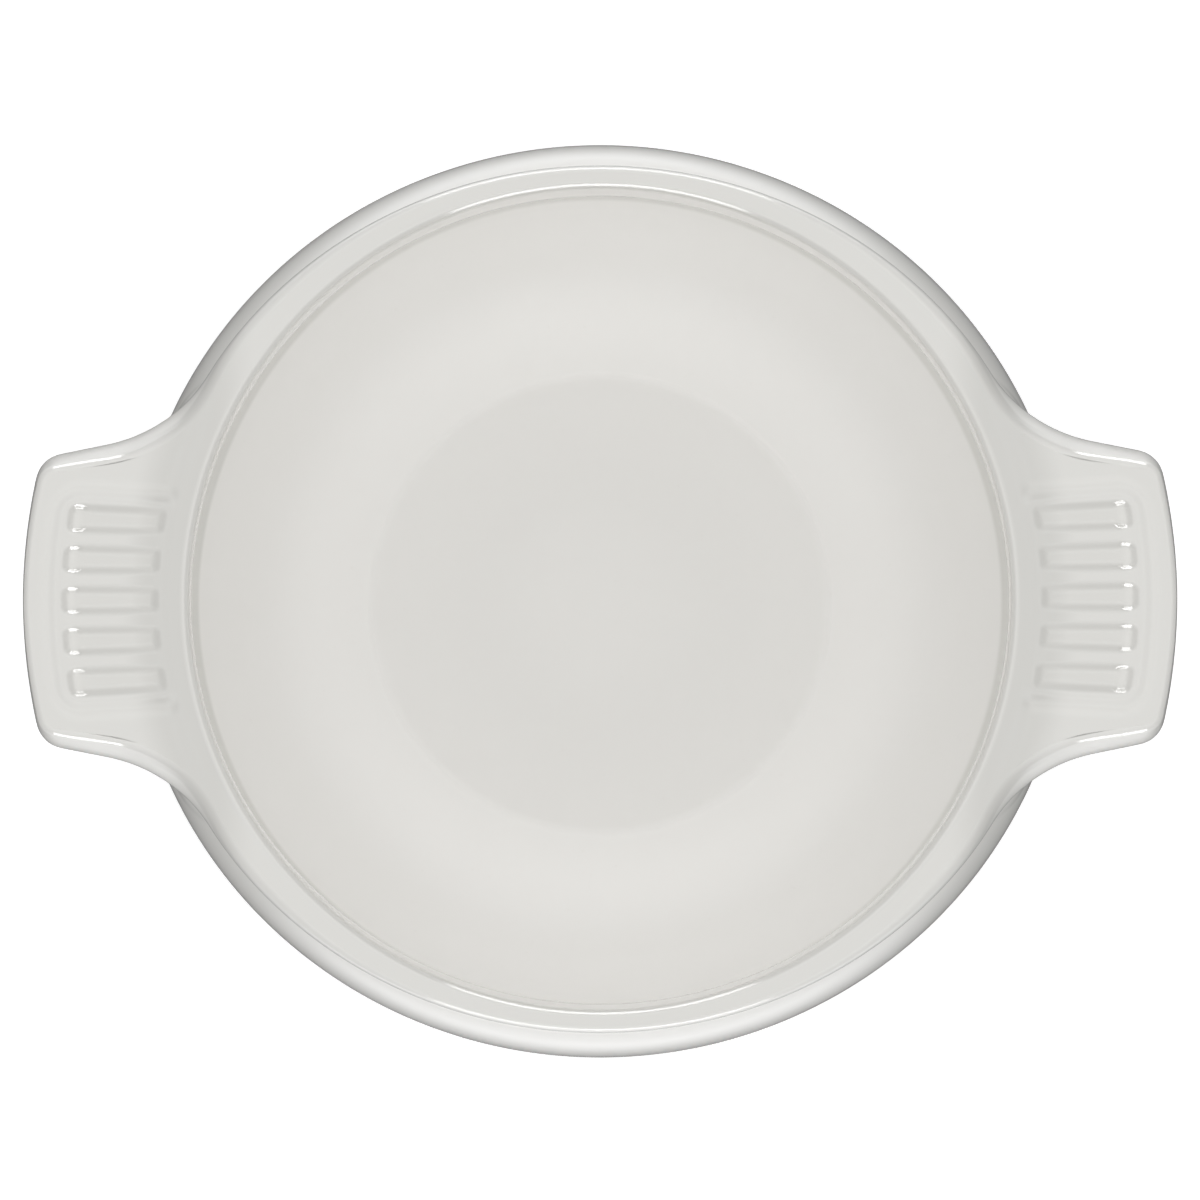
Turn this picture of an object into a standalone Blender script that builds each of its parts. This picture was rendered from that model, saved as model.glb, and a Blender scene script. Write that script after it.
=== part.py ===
"""Two-handled glazed stoneware dish, for baking and serving one portion.

The dish is a bellied bowl on a foot ring, with two flat ribbed lug handles level with its rim.
Z = 0 is the surface it stands on, Z is the bowl's axis, and the handles lie along X.
"""

import math

import bmesh
import bpy
from mathutils import Vector

NAME = "two_handled_dish"
GAP = 0.0003  # left between pieces that touch
WELD = 0.00001  # points closer than this are one point
TURN_STEPS = 72  # segments round the turned shapes
ROLL_POINTS = 4  # points along a small rounding
CURVE_POINTS = 13  # points along a wall or a handle's seat
SHOULDER_POINTS = 9
TIP_POINTS = 5
CORNER_POINTS = 7
SWEEP_POINTS = 11
SHARP_ANGLE = math.radians(35)
FLAT_ANGLE = math.radians(1)
RADIAL_SHARE = 0.98  # an edge that gains this share of its length in radius is a root end

# The whole dish
HEIGHT = 0.060
HALF_LENGTH = 0.085  # from the axis to a handle's tip

# Rim: the mouth is round, and the bead outside it is oval
MOUTH_RADIUS = 0.0610
RIM_RADIUS = 0.0638  # the bead's outside, across the handles
RIM_STRETCH = 0.058  # how much longer the bead is along the handles
RIM_DEPTH = 0.0036
RIM_ROUND = 0.0009
CREASE_RADIUS = 0.0598  # the narrowest place inside, below the rim
CREASE_Z = 0.050
NECK_RADIUS = 0.0627
NECK_Z = 0.0552

# Belly and cavity
BELLY_RADIUS = 0.0684
BELLY_STRETCH = 0.031
BELLY_Z = 0.038
SHOULDER_IN = 0.0069
WALL_CENTRE = 0.0255  # radius about which the lower wall's curves turn
LOWER_DROP = 0.034
CAVITY_RADIUS = 0.0622
CAVITY_Z = 0.037
CAVITY_DROP = 0.0275
UPPER_WALL_RADIUS = 0.0616  # halfway up from the cavity's widest place to the crease
FLOOR_RADIUS = 0.0357
FLOOR_STEP = 0.0005

# Foot
FOOT_OUTER = 0.0402
FOOT_INNER = 0.0354
FOOT_TOP = 0.0060
FOOT_ROUND = 0.0009
BASE_Z = 0.0044  # underside of the floor, inside the foot ring

# Handles
HANDLE_THICKNESS = 0.0075
HANDLE_SIDE = Vector((0.0794, 0.0217))  # a point on the straight stretch of a handle's side
HANDLE_TAPER = 0.2  # how fast the sides draw apart toward the bowl
HANDLE_CORNER = 0.003
HANDLE_ROUND = 0.0015
ROOT_ANGLE = math.radians(30)  # where a handle's outline runs into the rim's
GROOVE_COUNT = 5
GROOVE_PITCH = 0.0059
GROOVE_WIDTH = 0.0044
GROOVE_DEPTH = 0.0012
GROOVE_IN = 0.0644  # the grooves' ends lie on two circles about the bowl's axis
GROOVE_OUT = 0.0792
GROOVE_FAN = math.radians(1.2)  # extra turn from each groove to the next
GROOVE_ROUND = 0.0007

CUT_ABOVE = 0.002  # how far the cutters stand above the rim

# Finishes
GLAZE_COLOUR = (0.80, 0.79, 0.76)
GLAZE_ROUGHNESS = 0.12
CLAY_COLOUR = (0.72, 0.66, 0.57)
CLAY_ROUGHNESS = 0.75


def clear_scene():
    for item in list(bpy.data.objects):
        bpy.data.objects.remove(item, do_unlink=True)


def new_collection(name):
    made = bpy.data.collections.new(name)
    bpy.context.scene.collection.children.link(made)
    return made


def ceramic(name, colour, roughness):
    material = bpy.data.materials.new(name)
    material.use_nodes = True
    shader = material.node_tree.nodes["Principled BSDF"]
    shader.inputs["Base Color"].default_value = (*colour, 1.0)
    shader.inputs["Roughness"].default_value = roughness
    shader.inputs["Metallic"].default_value = 0.0
    return material


def ellipse_arc(centre, radii, start, end, count):
    """Points along a part of an ellipse, both ends included."""
    turns = [start + (end - start) * i / (count - 1) for i in range(count)]
    return [Vector((centre[0] + radii[0] * math.cos(t), centre[1] + radii[1] * math.sin(t))) for t in turns]


def arc(centre, radius, start, end, count):
    return ellipse_arc(centre, (radius, radius), start, end, count)


def evaluated_mesh(item, name):
    """The object's mesh with its modifiers, in world space; the object itself is removed."""
    bpy.context.view_layer.update()
    source = item.evaluated_get(bpy.context.evaluated_depsgraph_get())
    mesh = bpy.data.meshes.new_from_object(source)
    mesh.transform(item.matrix_world)
    mesh.name = name
    bpy.data.objects.remove(item, do_unlink=True)
    return mesh


def weld(mesh):
    shape = bmesh.new()
    shape.from_mesh(mesh)
    bmesh.ops.remove_doubles(shape, verts=shape.verts, dist=WELD)
    bmesh.ops.recalc_face_normals(shape, faces=shape.faces)
    shape.to_mesh(mesh)
    shape.free()


def turned(name, profile, collection, closed=False):
    """A solid turned about Z from a profile of (radius, height) points."""
    mesh = bpy.data.meshes.new(name)
    count = len(profile)
    edges = [(i, i + 1) for i in range(count - 1)]
    if closed:
        edges.append((count - 1, 0))
    mesh.from_pydata([(point[0], 0.0, point[1]) for point in profile], edges, [])
    item = bpy.data.objects.new(name, mesh)
    collection.objects.link(item)
    screw = item.modifiers.new("turn", "SCREW")
    screw.steps = TURN_STEPS
    screw.render_steps = TURN_STEPS
    screw.use_merge_vertices = True
    screw.merge_threshold = WELD
    made = evaluated_mesh(item, name)
    weld(made)
    return made


def extruded(name, outline, low, high, collection):
    """A flat outline in XY made solid between two heights."""
    curve = bpy.data.curves.new(name, "CURVE")
    curve.dimensions = "2D"
    curve.fill_mode = "BOTH"
    curve.extrude = (high - low) / 2
    spline = curve.splines.new("POLY")
    spline.points.add(len(outline) - 1)
    for target, point in zip(spline.points, outline):
        target.co = (point[0], point[1], 0.0, 1.0)
    spline.use_cyclic_u = True
    item = bpy.data.objects.new(name, curve)
    item.location.z = (high + low) / 2
    collection.objects.link(item)
    made = evaluated_mesh(item, name)
    weld(made)
    return made


def place(name, mesh, collection, material=None):
    item = bpy.data.objects.new(name, mesh)
    collection.objects.link(item)
    if material:
        mesh.materials.clear()
        mesh.materials.append(material)
        mesh.shade_smooth()
        mesh.set_sharp_from_angle(angle=SHARP_ANGLE)
    else:
        item.hide_render = True
        item.display_type = "WIRE"
    return item


def cut(item, cutter):
    boolean = item.modifiers.new("cut", "BOOLEAN")
    boolean.operation = "DIFFERENCE"
    boolean.object = cutter


def eased(share):
    share = min(max(share, 0.0), 1.0)
    return share * share * (3 - 2 * share)


def stretch_along_handles(mesh, with_bead=True):
    """Makes the belly and the rim's bead oval; the mouth, the floor and the foot stay round."""
    for vertex in mesh.vertices:
        x, y, z = vertex.co
        reach = HEIGHT - BELLY_Z if z > BELLY_Z else BELLY_Z - FOOT_TOP
        away = min(abs(z - BELLY_Z) / reach, 1.0)
        amount = BELLY_STRETCH * math.cos(away * math.pi / 2) ** 2
        amount *= eased((math.hypot(x, y) - FLOOR_RADIUS) / (CREASE_RADIUS - FLOOR_RADIUS))
        if with_bead and z > NECK_Z + 3 * GAP:
            bead = (math.hypot(x, y) - MOUTH_RADIUS) / (RIM_RADIUS - MOUTH_RADIUS)
            amount = max(amount, RIM_STRETCH * eased(bead))
        vertex.co.x = x * (1 + amount)


def shoulder(grow=0.0):
    """The outside from the neck down over the belly to the foot, moved out by grow."""
    turn = math.acos((NECK_RADIUS - BELLY_RADIUS + SHOULDER_IN) / SHOULDER_IN)
    rise = (NECK_Z - BELLY_Z) / math.sin(turn)
    upper_centre = (BELLY_RADIUS - SHOULDER_IN, BELLY_Z)
    upper = ellipse_arc(upper_centre, (SHOULDER_IN + grow, rise + grow), turn, 0, SHOULDER_POINTS)
    foot_turn = math.asin((FOOT_TOP - BELLY_Z) / LOWER_DROP)
    lower_radii = (BELLY_RADIUS - WALL_CENTRE + grow, LOWER_DROP + grow)
    lower = ellipse_arc((WALL_CENTRE, BELLY_Z), lower_radii, 0, foot_turn, CURVE_POINTS)
    return upper + lower[1:]


def cavity():
    """The inside from the middle of the floor up to the mouth."""
    start = math.asin((FLOOR_RADIUS - WALL_CENTRE) / (CAVITY_RADIUS - WALL_CENTRE))
    radii = (CAVITY_RADIUS - WALL_CENTRE, CAVITY_DROP)
    wall = ellipse_arc((WALL_CENTRE, CAVITY_Z), radii, start - math.pi / 2, 0, CURVE_POINTS)
    step = Vector((FLOOR_RADIUS - FLOOR_STEP, wall[0].y - FLOOR_STEP))
    floor = [Vector((0, step.y)), step]
    upper_wall = [
        Vector((UPPER_WALL_RADIUS, (CAVITY_Z + CREASE_Z) / 2)),
        Vector((CREASE_RADIUS, CREASE_Z)),
    ]
    lip = arc((MOUTH_RADIUS, HEIGHT - RIM_ROUND), RIM_ROUND, math.pi, math.pi / 2, ROLL_POINTS)
    return floor + wall + upper_wall + lip


def rim():
    """The bead from its flat top over its outside to the neck."""
    centre_r = RIM_RADIUS - RIM_ROUND
    top = arc((centre_r, HEIGHT - RIM_ROUND), RIM_ROUND, math.pi / 2, 0, ROLL_POINTS)
    low = HEIGHT - RIM_DEPTH + RIM_ROUND
    under = arc((centre_r, low), RIM_ROUND, 0, -math.pi / 2, ROLL_POINTS)
    return top + under + [Vector((NECK_RADIUS, NECK_Z + 2 * GAP))]


def side_normal():
    return Vector((HANDLE_TAPER, 1)).normalized()


def root_point():
    """Where the handle's side meets the rim's oval, with the oval's outward normal there."""
    radii = (RIM_RADIUS * (1 + RIM_STRETCH), RIM_RADIUS)
    turn = math.atan2(radii[0] * math.sin(ROOT_ANGLE), radii[1] * math.cos(ROOT_ANGLE))
    point = Vector((radii[0] * math.cos(turn), radii[1] * math.sin(turn)))
    return point, Vector((point.x / radii[0] ** 2, point.y / radii[1] ** 2)).normalized()


def handle_side():
    """One side of the handle's outline, from the middle of its tip to its root."""
    normal = side_normal()
    reach = normal.dot(HANDLE_SIDE)
    along = Vector((normal.y, -normal.x))
    inner = reach - HANDLE_CORNER
    corner = normal * inner + along * math.sqrt((HALF_LENGTH - HANDLE_CORNER) ** 2 - inner**2)
    corner_turn = math.atan2(corner.y, corner.x)
    side_turn = math.atan2(normal.y, normal.x)
    root, outward = root_point()
    radius = (normal.dot(root) - reach) / (1 - normal.dot(outward))
    centre = root + outward * radius
    root_turn = math.atan2(outward.y, outward.x) + math.pi
    tip = arc((0, 0), HALF_LENGTH, 0, corner_turn, TIP_POINTS)
    bend = arc(corner, HANDLE_CORNER, corner_turn, side_turn, CORNER_POINTS)
    sweep = arc(centre, radius, side_turn + math.pi, root_turn, SWEEP_POINTS)
    return tip + bend[1:] + sweep


def handle_outline():
    """The whole outline, with its two root ends drawn back by a gap from the bead's ends."""
    seat = NECK_RADIUS + GAP
    side = handle_side()
    side[-1] = side[-1] + Vector((math.sin(ROOT_ANGLE), -math.cos(ROOT_ANGLE))) * GAP
    half_turn = ROOT_ANGLE - GAP / seat
    inside = arc((0, 0), seat, half_turn, -half_turn, CURVE_POINTS)
    mirrored = [Vector((point.x, -point.y)) for point in reversed(side[1:])]
    return side + inside + mirrored


def is_outer_edge(edge):
    """True for the level edges round a handle, apart from those of its seat and its root ends."""
    start, end = edge.verts[0].co, edge.verts[1].co
    level = abs(start.z - end.z) < GAP
    past_seat = ((start + end) / 2).xy.length > NECK_RADIUS + 2 * GAP
    along_radius = abs(start.xy.length - end.xy.length) > edge.calc_length() * RADIAL_SHARE
    return level and past_seat and not along_radius


def handle_blank(collection):
    mesh = extruded("handle_blank", handle_outline(), HEIGHT - HANDLE_THICKNESS, HEIGHT, collection)
    shape = bmesh.new()
    shape.from_mesh(mesh)
    bmesh.ops.dissolve_limit(
        shape, angle_limit=FLAT_ANGLE, verts=shape.verts, edges=shape.edges
    )
    rounded = [edge for edge in shape.edges if is_outer_edge(edge)]
    bmesh.ops.bevel(
        shape, geom=rounded, offset=HANDLE_ROUND, segments=3, profile=0.5, affect="EDGES"
    )
    bmesh.ops.recalc_face_normals(shape, faces=shape.faces)
    shape.to_mesh(mesh)
    shape.free()
    return mesh


def groove_cutter(index, collection):
    step = index - (GROOVE_COUNT - 1) / 2
    offset = step * GROOVE_PITCH
    near = math.sqrt(GROOVE_IN**2 - offset**2)
    far = math.sqrt(GROOVE_OUT**2 - offset**2)
    mesh = bpy.data.meshes.new("groove_cutter")
    shape = bmesh.new()
    bmesh.ops.create_cube(shape, size=1.0)
    bmesh.ops.scale(shape, vec=(far - near, GROOVE_WIDTH, 2 * GROOVE_DEPTH), verts=shape.verts)
    shape.to_mesh(mesh)
    shape.free()
    item = place(f"groove_cutter_{index + 1}", mesh, collection)
    item.location = ((far + near) / 2, offset, HEIGHT)
    item.rotation_euler.z = step * GROOVE_FAN
    bevel = item.modifiers.new("round", "BEVEL")
    bevel.width = GROOVE_ROUND
    bevel.segments = 2
    return item


def seat_cutter(side, collection):
    """Takes the bead off the bowl where a handle's root sits."""
    near = arc((0, 0), NECK_RADIUS, ROOT_ANGLE, -ROOT_ANGLE, CURVE_POINTS)
    far = arc((0, 0), HALF_LENGTH, -ROOT_ANGLE, ROOT_ANGLE, TIP_POINTS)
    mesh = extruded("seat", near + far, NECK_Z + GAP, HEIGHT + CUT_ABOVE, collection)
    item = place(f"{side}_seat_cutter", mesh, collection)
    item.rotation_euler.z = math.pi if side == "left" else 0.0
    return item


def make_bowl(parts, cutters, material):
    base = [Vector((FOOT_INNER - 2 * GAP, FOOT_TOP)), Vector((FOOT_INNER - 2 * GAP, BASE_Z))]
    profile = cavity() + rim() + shoulder() + base + [Vector((0, BASE_Z))]
    mesh = turned("bowl", profile, cutters)
    stretch_along_handles(mesh)
    bowl = place("bowl", mesh, parts, material)
    for side in ("left", "right"):
        cut(bowl, seat_cutter(side, cutters))


def make_handles(parts, cutters, material):
    top = HEIGHT + CUT_ABOVE
    body = [Vector((0, top)), Vector((NECK_RADIUS + GAP / 2, top))]
    profile = body + shoulder(GAP) + [Vector((0, FOOT_TOP - GAP))]
    body_mesh = turned("bowl_clearance", profile, cutters)
    stretch_along_handles(body_mesh, with_bead=False)
    body_cutter = place("bowl_clearance", body_mesh, cutters)
    blank = place("handle_blank", handle_blank(cutters), cutters)
    cut(blank, body_cutter)
    for index in range(GROOVE_COUNT):
        cut(blank, groove_cutter(index, cutters))
    mesh = evaluated_mesh(blank, "handle")
    for side, turn in (("right", 0.0), ("left", math.pi)):
        handle = place(f"{side}_handle", mesh, parts, material)
        handle.rotation_euler.z = turn


def make_foot_ring(parts, cutters, material):
    top = FOOT_TOP - GAP
    quarter = math.pi / 2
    outer = arc((FOOT_OUTER - FOOT_ROUND, FOOT_ROUND), FOOT_ROUND, 0, -quarter, ROLL_POINTS)
    inner = arc((FOOT_INNER + FOOT_ROUND, FOOT_ROUND), FOOT_ROUND, -quarter, -math.pi, ROLL_POINTS)
    profile = [Vector((FOOT_OUTER, top))] + outer + inner + [Vector((FOOT_INNER, top))]
    place("foot_ring", turned("foot_ring", profile, cutters, closed=True), parts, material)


def main():
    clear_scene()
    parts = new_collection(NAME)
    cutters = new_collection(NAME + "_cutters")
    glaze = ceramic("white_glaze", GLAZE_COLOUR, GLAZE_ROUGHNESS)
    clay = ceramic("bare_clay", CLAY_COLOUR, CLAY_ROUGHNESS)
    make_bowl(parts, cutters, glaze)
    make_handles(parts, cutters, glaze)
    make_foot_ring(parts, cutters, clay)


main()
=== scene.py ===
"""Looks of a two-handled white stoneware dish, seen from above.

One glazed surface runs over the bowl, the rim and both handles. It is worked out as a grid of
columns round the dish and rows from the middle of the floor, over the rim and down to the foot,
then parted into the pieces that stand for the CAD nodes. Lengths are in millimetres until a mesh
is made. The handles lie along X.
"""

import math

import bmesh
import bpy
import numpy as np
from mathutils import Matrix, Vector


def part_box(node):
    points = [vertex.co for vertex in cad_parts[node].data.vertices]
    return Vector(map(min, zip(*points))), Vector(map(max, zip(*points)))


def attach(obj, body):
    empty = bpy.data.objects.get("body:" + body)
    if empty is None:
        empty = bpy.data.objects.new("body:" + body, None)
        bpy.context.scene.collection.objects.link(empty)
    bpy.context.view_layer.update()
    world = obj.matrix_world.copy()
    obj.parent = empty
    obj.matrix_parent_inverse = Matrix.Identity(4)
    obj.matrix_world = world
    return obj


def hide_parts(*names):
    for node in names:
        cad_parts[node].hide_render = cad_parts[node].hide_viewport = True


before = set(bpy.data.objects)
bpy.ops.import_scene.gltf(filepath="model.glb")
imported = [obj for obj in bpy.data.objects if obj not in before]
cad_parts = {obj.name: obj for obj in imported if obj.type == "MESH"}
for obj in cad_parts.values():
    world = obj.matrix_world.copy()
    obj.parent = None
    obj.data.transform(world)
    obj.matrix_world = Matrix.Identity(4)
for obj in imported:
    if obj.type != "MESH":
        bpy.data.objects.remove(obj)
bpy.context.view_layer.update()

MM = 0.001


def node_box(node):
    low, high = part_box(node)
    return np.array(low) / MM, np.array(high) / MM


_, BOWL_HIGH = node_box("bowl")
LUG_LOW, LUG_HIGH = node_box("right_handle")
_, FOOT_HIGH = node_box("foot_ring")

# Sizes that the CAD gives
HEIGHT = float(LUG_HIGH[2])
TIP_REACH = float(LUG_HIGH[0])
LUG_THICK = float(LUG_HIGH[2] - LUG_LOW[2])
BELLY = float(BOWL_HIGH[1])
BELLY_STRETCH = float(BOWL_HIGH[0] / BOWL_HIGH[1] - 1)
FOOT_OUTER = float(FOOT_HIGH[1])
JOINT_Z = float(FOOT_HIGH[2])  # where the foot ring meets the bowl

# Rim
MOUTH = 61.3  # radius at which the rim's flat top begins
RIM = 63.8  # the bead's outside, across the handles
RIM_STRETCH = 0.058
RIM_DEPTH = 3.6
RIM_ROLL = 0.75
BEAD_DRAFT = 0.3  # how much wider the bead is below than at its top
BEAD_SEAT = 0.95  # along the bead, the row where handles begin lies this far past the mouth
MOUTH_FOOT = 60.3  # the wall's radius just under the mouth's bevelled edge
MOUTH_BEVEL = 0.5
EDGE_DEPTH = 2.4  # the mouth's edge reaches this far down, for its own rows
BEVEL_SLOPE = math.radians(41)
ROLL_END = math.radians(67)  # the rounding passes into the side before it is upright
ROLL_WIDEST = math.radians(37)  # where the sweep into a handle has its softest edge
ROLL_EXTRA, ROLL_EXTRA_SPREAD = 0.8, 0.3
ROLL_POWER = 1.4  # below 2, an edge's rounding is flatter in its middle than a circle's
CREASE = 59.8
CREASE_Z = HEIGHT - 10.0
NECK = 62.7
CORE = 62.2  # radius of the middle of the wall under the rim

# Belly and cavity
BELLY_Z = 38.0
SHOULDER_IN = 6.9
SHOULDER_RISE = 17.5
WALL_CENTRE = 25.5
LOWER_DROP = 34.0
CAVITY = 62.2
CAVITY_Z = 37.0
CAVITY_DROP = 27.5
FLOOR = 35.7
FLOOR_STEP = 0.45
FLOOR_STEP_RUN = 0.4
SWELL_UP, SWELL_OUT, SWELL_DOWN = 5.0, 0.9, 3.0  # how the wall bends in to the crease
BEVEL_FOOT, BEVEL_START, BEVEL_START_OUT = 0.9, 0.2, 0.15  # the mouth's bevel, below its slope
BEVEL_END_OUT, BEVEL_END_DROP = 0.2, 0.08
EDGE_SOFTNESS = 0.14
TURNING, EDGE_TURNING = 3.0, 1.0  # a bend of one radian gets as many rows as this many mm of line

# Foot
FOOT_INNER = 35.4
FOOT_ROLL = 0.8
FOOT_LAND = FOOT_OUTER - FOOT_ROLL - 0.5, FOOT_INNER + FOOT_ROLL + 0.3  # the land's two edges
BASE_Z = 4.4
BASE_RISE, BASE_CORNER, BASE_CORNER_IN = 0.4, 0.6, 1.2  # to the middle, and at the ring's inside
RING_TOP_IN, RING_TOP_DROP = 0.1, 1.0  # where the ring's outside begins, below the belly
FOOT_SOFTNESS = 0.35
FOOT_BLEND = 8.0  # over this far the belly's oval passes into the round foot
INNER_ROW_IN = 0.6  # the rows of the base begin this far inside the ring

# Handles
SIDE_POINT = np.array([79.4, 21.7])  # on the straight stretch of a handle's side
SIDE_TAPER = 0.2
CORNER = 4.4
ROOT = math.radians(30)  # where a handle's outline runs into the rim's
OUTLINE_SOFTNESS = 0.5
LUG_BEARING, LUG_FADE = math.radians(38), math.radians(16)  # the handle's section fades in here
LUG_ROLL, LUG_SIDE_ROLL, LUG_LOW_ROLL = 0.2, 0.5, 1.6  # added to the rim's rounding
FLARE_END, FLARE_RUN, FLARE = 80.0, 13.0, 0.5  # the sides slope out more towards the root
SEAT = 63.0  # radius at which the handle's piece begins
SEAT_RUN = 0.3
LUG_NECK = 2.7
LUG_SET_DOWN, SET_DOWN_RUN = 0.2, 3.0  # how far the handle's top lies under the rim's
ON_LUG_PAST, ON_LUG_FADE = 0.06, 0.35  # radians past the root, and over how many it fades

# Underside, from the handle's or the bead's low edge to the shoulder
LANDING, LANDING_LUG = 66, 40  # degrees up the shoulder, and how much lower under a handle
UNDER_REACH, UNDER_LEAST = 0.78, 0.35
UNDER_PULL, UNDER_PULL_LUG = 1.4, 5.0

# Grooves
GROOVE_COUNT = 5
GROOVE_PITCH = 5.9
GROOVE_WIDTH = 4.7
GROOVE_DEPTH = 0.85
GROOVE_IN, GROOVE_OUT = 64.4, 79.2
GROOVE_CORNER = 1.5
GROOVE_WALL, GROOVE_WALL_LESS = 2.05, 0.25  # how wide a wall is, and how much less further out
GROOVE_STEEP_FROM, GROOVE_STEEP_RUN, GROOVE_STEEP_LESS = 3.2, 1.2, 0.44
FAN_APEX = 209.0  # the grooves point to a place this far beyond the dish's axis
PANEL_MID = (GROOVE_IN + GROOVE_OUT) / 2
PANEL_HALF_LENGTH = (GROOVE_OUT - GROOVE_IN) / 2
PANEL_HALF_WIDTH = (GROOVE_COUNT - 1) / 2 * GROOVE_PITCH + GROOVE_WIDTH / 2

# The frame round the grooves: how high or deep, how far out and how wide
PANEL_CORNER = 1.6
RIDGE, RIDGE_AT, RIDGE_SPREAD = 0.2, 0.5, 0.7
VALLEY, VALLEY_AT, VALLEY_SPREAD = 0.36, 2.2, 0.9
FRAME_RUN = 2.2

# The dip between the mouth and the grooves
DIP_MIDDLE, DIP_SIDES = 0.18, 0.42
DIP_RADIUS, DIP_SPREAD = 66.0, 2.2
DIP_TURN, DIP_TURN_RUN = 0.16, 0.14
DIP_END, DIP_END_RUN = 0.56, 0.16
DIP_CLEAR, DIP_CLEAR_RUN = 0.2, 1.5  # the dip fades out towards the panel of grooves

# Columns in a quarter of the dish, and rows
PANEL_HALF = 16.8  # half the width of the stretch whose columns run along the grooves
PANEL_COLUMNS, FLANK_COLUMNS, BEAD_COLUMNS = 84, 76, 64
FLANK_START, FLANK_END = 1.9, 1.8  # how quickly the flank's columns set off and arrive
CAVITY_ROWS, EDGE_ROWS, RIM_ROWS, PLATE_ROWS = 54, 16, 6, 100
ROLL_ROWS, SIDE_ROWS, UNDER_ROWS = 8, 9, 22
SHOULDER_ROWS, BODY_ROWS, FOOT_ROWS, BASE_ROWS = 14, 30, 40, 8
PLATE_SKIP = 5  # the bowl's own bead needs fewer rows across than the handles

# Glaze and clay, with sizes and depths in mm
# painted light: the cavity's walls get a lighter colour than the plain glaze of the rim and outside
GLAZE_PAINTED_LIGHT, GLAZE_PAINTED_LIGHT_DEEP = (0.950, 0.940, 0.918), (0.940, 0.928, 0.902)
GLAZE_PLAIN, GLAZE_PLAIN_DEEP = (0.805, 0.798, 0.768), (0.790, 0.782, 0.750)
# the floor's colour: less painted light than the walls, so the floor's middle is painted darker than the
# walls
GLAZE_FLOOR_LESS_LIT = (0.832, 0.822, 0.798)
# painted shade on the handles' roots and along the grooves' walls and inner ends
GLAZE_PAINTED_SHADE = (0.705, 0.698, 0.668)
FLECK = (0.62, 0.58, 0.50)
FLECK_SIZE, FLECK_STRENGTH = 0.9, 0.05
FLECK_LIMITS = 0.74, 0.80
CLOUD_SIZE = 28
SHINE_SIZE, SMOOTH, LESS_SMOOTH = 9, 0.07, 0.12
RIPPLE_SIZE, RIPPLE_DEPTH = 7, 0.02
PEEL_SIZE, PEEL_DEPTH = 1.6, 0.004
BUMP_STRENGTH, GRAIN_STRENGTH = 0.5, 0.6
NOISE_MIDDLE, GRAIN_MIDDLE = (0.3, 0.7), (0.35, 0.65)
CLAY_LIGHT, CLAY_DARK, CLAY_SPECK = (0.72, 0.66, 0.57), (0.60, 0.53, 0.44), (0.30, 0.22, 0.15)
GRAIN_SIZE, GRAIN_DEPTH = 0.5, 0.05
SPECK_SIZE, SPECK_LIMITS, SPECK_STRENGTH = 0.8, (0.70, 0.74), 0.7
WIPED, WIPED_WANDER, WIPED_SIZE = (0.7, 0.9), 0.25, 6  # how high the foot was wiped clean
CLAY_ROUGHNESS = 0.65  # added to the glaze's

# Where light is painted into the cavity and shade onto the handles' roots and grooves, each as the two
# limits of a soft change
IN_MOUTH = MOUTH - 0.6, MOUTH
BELOW_RIM = HEIGHT - 2.7, HEIGHT - 1.0
ABOVE_FOOT = 8, 9
MID_FLOOR = 15, 46
ON_TOP = HEIGHT - 2.2, HEIGHT - 1.7
ROOT_SHADE_ALONG, ROOT_SHADE_FROM, ROOT_SHADE_TO = (50, 57), (61.0, 61.8), (66, 71)
GROOVE_HALF = GROOVE_WIDTH / 2
WALL_FROM, WALL_LEAST = (GROOVE_HALF - 1.5, GROOVE_HALF - 0.8), 0.4
WALL_TO = GROOVE_HALF - 0.5, GROOVE_HALF + 0.2
WALL_STOPS = GROOVE_OUT - 2.6, GROOVE_OUT - 1.2
END_LONG, END_WIDE = (GROOVE_IN + 1.2, GROOVE_IN + 2.4), (GROOVE_HALF - 0.5, GROOVE_HALF)
GROOVES_FROM = GROOVE_IN, GROOVE_IN + 0.8
GROOVES_WIDE = PANEL_HALF_WIDTH, PANEL_HALF_WIDTH + 0.3

# Stage
STAGE_RADIUS = 4.0  # in metres
STAGE_SEGMENTS = 96
FLOOR_WHITE = (0.9, 0.9, 0.9, 1)
STAGE_ROUGHNESS = 0.6
FLOOR_GLOW = 0.46
BACKDROP_GLOW = 0.92
TABLE_DROP = 0.5  # how far below the floor, in mm
TABLE_GREY = (0.1, 0.1, 0.1, 1)
TABLE_GLOW_COLOUR = (0.97, 0.975, 1, 1)
TABLE_NEAR, TABLE_FAR = 0.02, 1.6
TABLE_RING = 80, 130  # the glow sets in between these distances from the axis
TABLE_ENDS, TABLE_SHIFT = (50, 140), -16  # and between these distances to the front or back
TABLE_FACING = 0.5, 0.92  # and only towards the front and back

# Light: the world by direction, and two low panels, in metres and watts
WORLD_UP, WORLD_ACROSS, WORLD_ENDS, WORLD_SIDES = 0.53, 0.1, 4.6, 2.8
LIGHT_AWAY, LIGHT_UP = 1.25, 0.25
LIGHT_AIM = (0, 0, 0.06)
LIGHT_SIZE = (0.97, 0.34)
LIGHT_BACK, LIGHT_FRONT = 10.0, 10.5

# Camera, in metres
SENSOR = 36  # in mm
CAMERA_DISTANCE = 0.9
SEEN_WIDTH = 0.1759
CAMERA_TILT, CAMERA_ROLL = math.radians(1.0), math.radians(-0.2)
CAMERA_TARGET = Vector((-0.00007, -0.00022, HEIGHT * MM))
CLIP_END = 20


def ease(share):
    share = np.clip(share, 0.0, 1.0)
    return share * share * (3 - 2 * share)


def soft_ease(share):
    share = np.clip(share, 0.0, 1.0)
    return share**3 * (share * (6 * share - 15) + 10)


def bump(value, centre, spread):
    return np.exp(-(((value - centre) / spread) ** 2))


# ---------------------------------------------------------------- lines in a plane


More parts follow.
